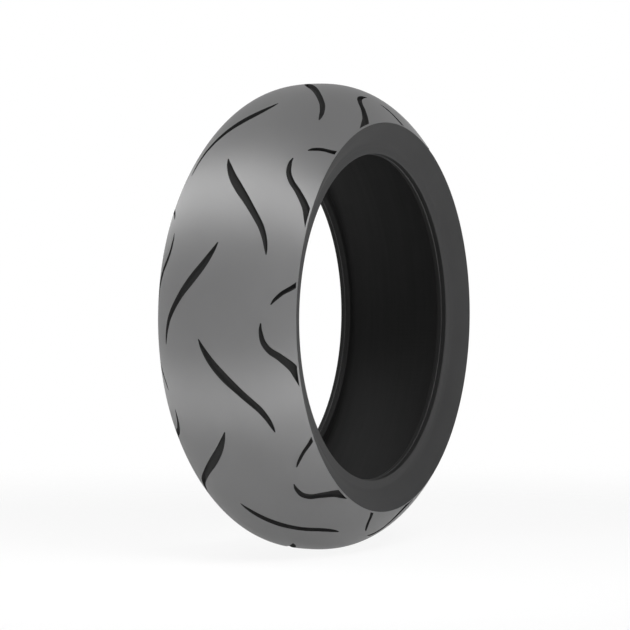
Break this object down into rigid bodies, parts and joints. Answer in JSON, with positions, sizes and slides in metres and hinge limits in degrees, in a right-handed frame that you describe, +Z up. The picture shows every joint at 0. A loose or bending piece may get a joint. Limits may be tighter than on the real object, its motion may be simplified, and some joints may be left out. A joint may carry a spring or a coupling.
{
  "type": "motorcycle tyre",
  "caption": "Wide tubeless radial motorcycle tyre with a round crown, curved tapering tread grooves, plain sidewalls and an open rim bore, built as bonded layers.",
  "frame": {"origin": "centre of the tyre, on its spin axis", "axes": "+Y along the spin axis to the tyre's left, +Z up, +X forward"},
  "size_m": [0.6248, 0.2026, 0.6248],
  "materials": {
    "tread_rubber": "matte moulded tread rubber",
    "side_rubber": "satin moulded side rubber",
    "bead_rubber": "satin hard rubber",
    "liner_rubber": "dull black liner",
    "base_rubber": "dull uncoated rubber",
    "ply_cord": "rubbered cord fabric",
    "belt_cord": "brass-plated steel cord in rubber",
    "bead_wire": "drawn steel wire"
  },
  "bodies": {
    "root": {"tread_centre": "tread_rubber", "tread_shoulder_left": "tread_rubber", "tread_shoulder_right": "tread_rubber", "undertread": "base_rubber", "zero_degree_belt": "belt_cord", "breaker_ply": "ply_cord", "belt_edge_strip_left": "base_rubber", "belt_edge_strip_right": "base_rubber", "carcass_ply": "ply_cord", "inner_liner": "liner_rubber", "sidewall_left": "side_rubber", "sidewall_right": "side_rubber", "chafer_left": "bead_rubber", "chafer_right": "bead_rubber", "toe_strip_left": "bead_rubber", "toe_strip_right": "bead_rubber", "bead_filler_left": "base_rubber", "bead_filler_right": "base_rubber", "bead_wrap_left": "ply_cord", "bead_wrap_right": "ply_cord", "bead_core_left": "bead_wire", "bead_core_right": "bead_wire"}
  },
  "joints": []
}
